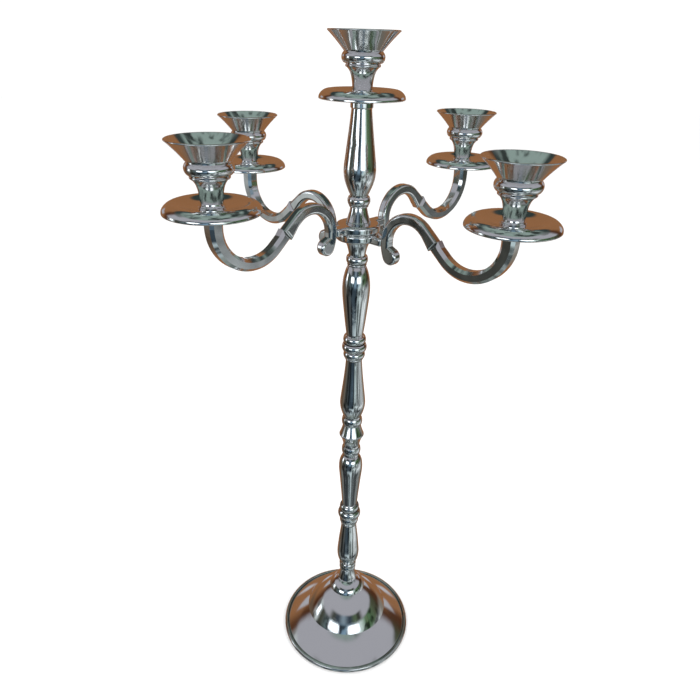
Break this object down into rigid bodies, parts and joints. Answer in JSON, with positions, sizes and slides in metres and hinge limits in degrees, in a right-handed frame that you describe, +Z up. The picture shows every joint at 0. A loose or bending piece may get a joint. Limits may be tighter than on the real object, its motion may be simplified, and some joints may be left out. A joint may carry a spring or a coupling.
{
  "type": "tabletop candelabra",
  "caption": "Tall candelabra: round stepped base, turned baluster column, crossed S-shaped arms and flared candle cups over dished drip pans, polished metal.",
  "frame": {"origin": "centre of the base's footprint, on the table", "axes": "+Z up along the column; +X along the upper arm casting; +Y near the lower casting, which is clamped 1.7 degrees past square"},
  "size_m": [0.4492, 0.449, 0.8001],
  "materials": {
    "polished_nickel": "cast aluminium, nickel plated and mirror polished",
    "zinc_steel": "bright zinc plate on rolled thread",
    "felt": "self-adhesive felt"
  },
  "bodies": {
    "column": {"arm_stud_lower_back": "zinc_steel", "arm_stud_lower_front": "zinc_steel", "arms_lower": "polished_nickel", "base_nut": "zinc_steel", "base_shell": "polished_nickel", "base_washer": "zinc_steel", "drip_pan_centre": "polished_nickel", "drip_pan_lower_back": "polished_nickel", "drip_pan_lower_front": "polished_nickel", "felt_dots": "felt", "hub_bell": "polished_nickel", "hub_cone": "polished_nickel", "neck_collar": "polished_nickel", "stem_baluster_fourth": "polished_nickel", "stem_baluster_low": "polished_nickel", "stem_baluster_second": "polished_nickel", "stem_baluster_third": "polished_nickel", "stem_bead": "polished_nickel", "stem_collar_high": "polished_nickel", "stem_collar_low": "polished_nickel", "tie_rod": "zinc_steel", "top_baluster": "polished_nickel"},
    "upper_arms": {"arms_upper": "polished_nickel", "drip_pan_upper_right": "polished_nickel", "drip_pan_upper_left": "polished_nickel", "arm_stud_upper_right": "zinc_steel", "arm_stud_upper_left": "zinc_steel"},
    "cup_centre": {"candle_cup_centre": "polished_nickel"},
    "cup_upper_right": {"candle_cup_upper_right": "polished_nickel"},
    "cup_upper_left": {"candle_cup_upper_left": "polished_nickel"},
    "cup_lower_back": {"candle_cup_lower_back": "polished_nickel"},
    "cup_lower_front": {"candle_cup_lower_front": "polished_nickel"}
  },
  "joints": [
    {"name": "upper_arms_swivel", "type": "hinge", "parent": "column", "child": "upper_arms", "pos_m": [0, 0, 0.6108], "axis": [0, 0, 1], "range_deg": [-58, 62]},
    {"name": "cup_centre_turn", "type": "hinge", "parent": "column", "child": "cup_centre", "pos_m": [0, 0, 0.74955], "axis": [0, 0, 1], "continuous": true},
    {"name": "cup_upper_right_turn", "type": "hinge", "parent": "upper_arms", "child": "cup_upper_right", "pos_m": [0.1815, 0, 0.66705], "axis": [0, 0, 1], "continuous": true},
    {"name": "cup_upper_left_turn", "type": "hinge", "parent": "upper_arms", "child": "cup_upper_left", "pos_m": [-0.1815, 0, 0.66705], "axis": [0, 0, 1], "continuous": true},
    {"name": "cup_lower_back_turn", "type": "hinge", "parent": "column", "child": "cup_lower_back", "pos_m": [-0.00538, 0.18142, 0.6581], "axis": [0, 0, 1], "continuous": true},
    {"name": "cup_lower_front_turn", "type": "hinge", "parent": "column", "child": "cup_lower_front", "pos_m": [0.00538, -0.18142, 0.6581], "axis": [0, 0, 1], "continuous": true}
  ]
}
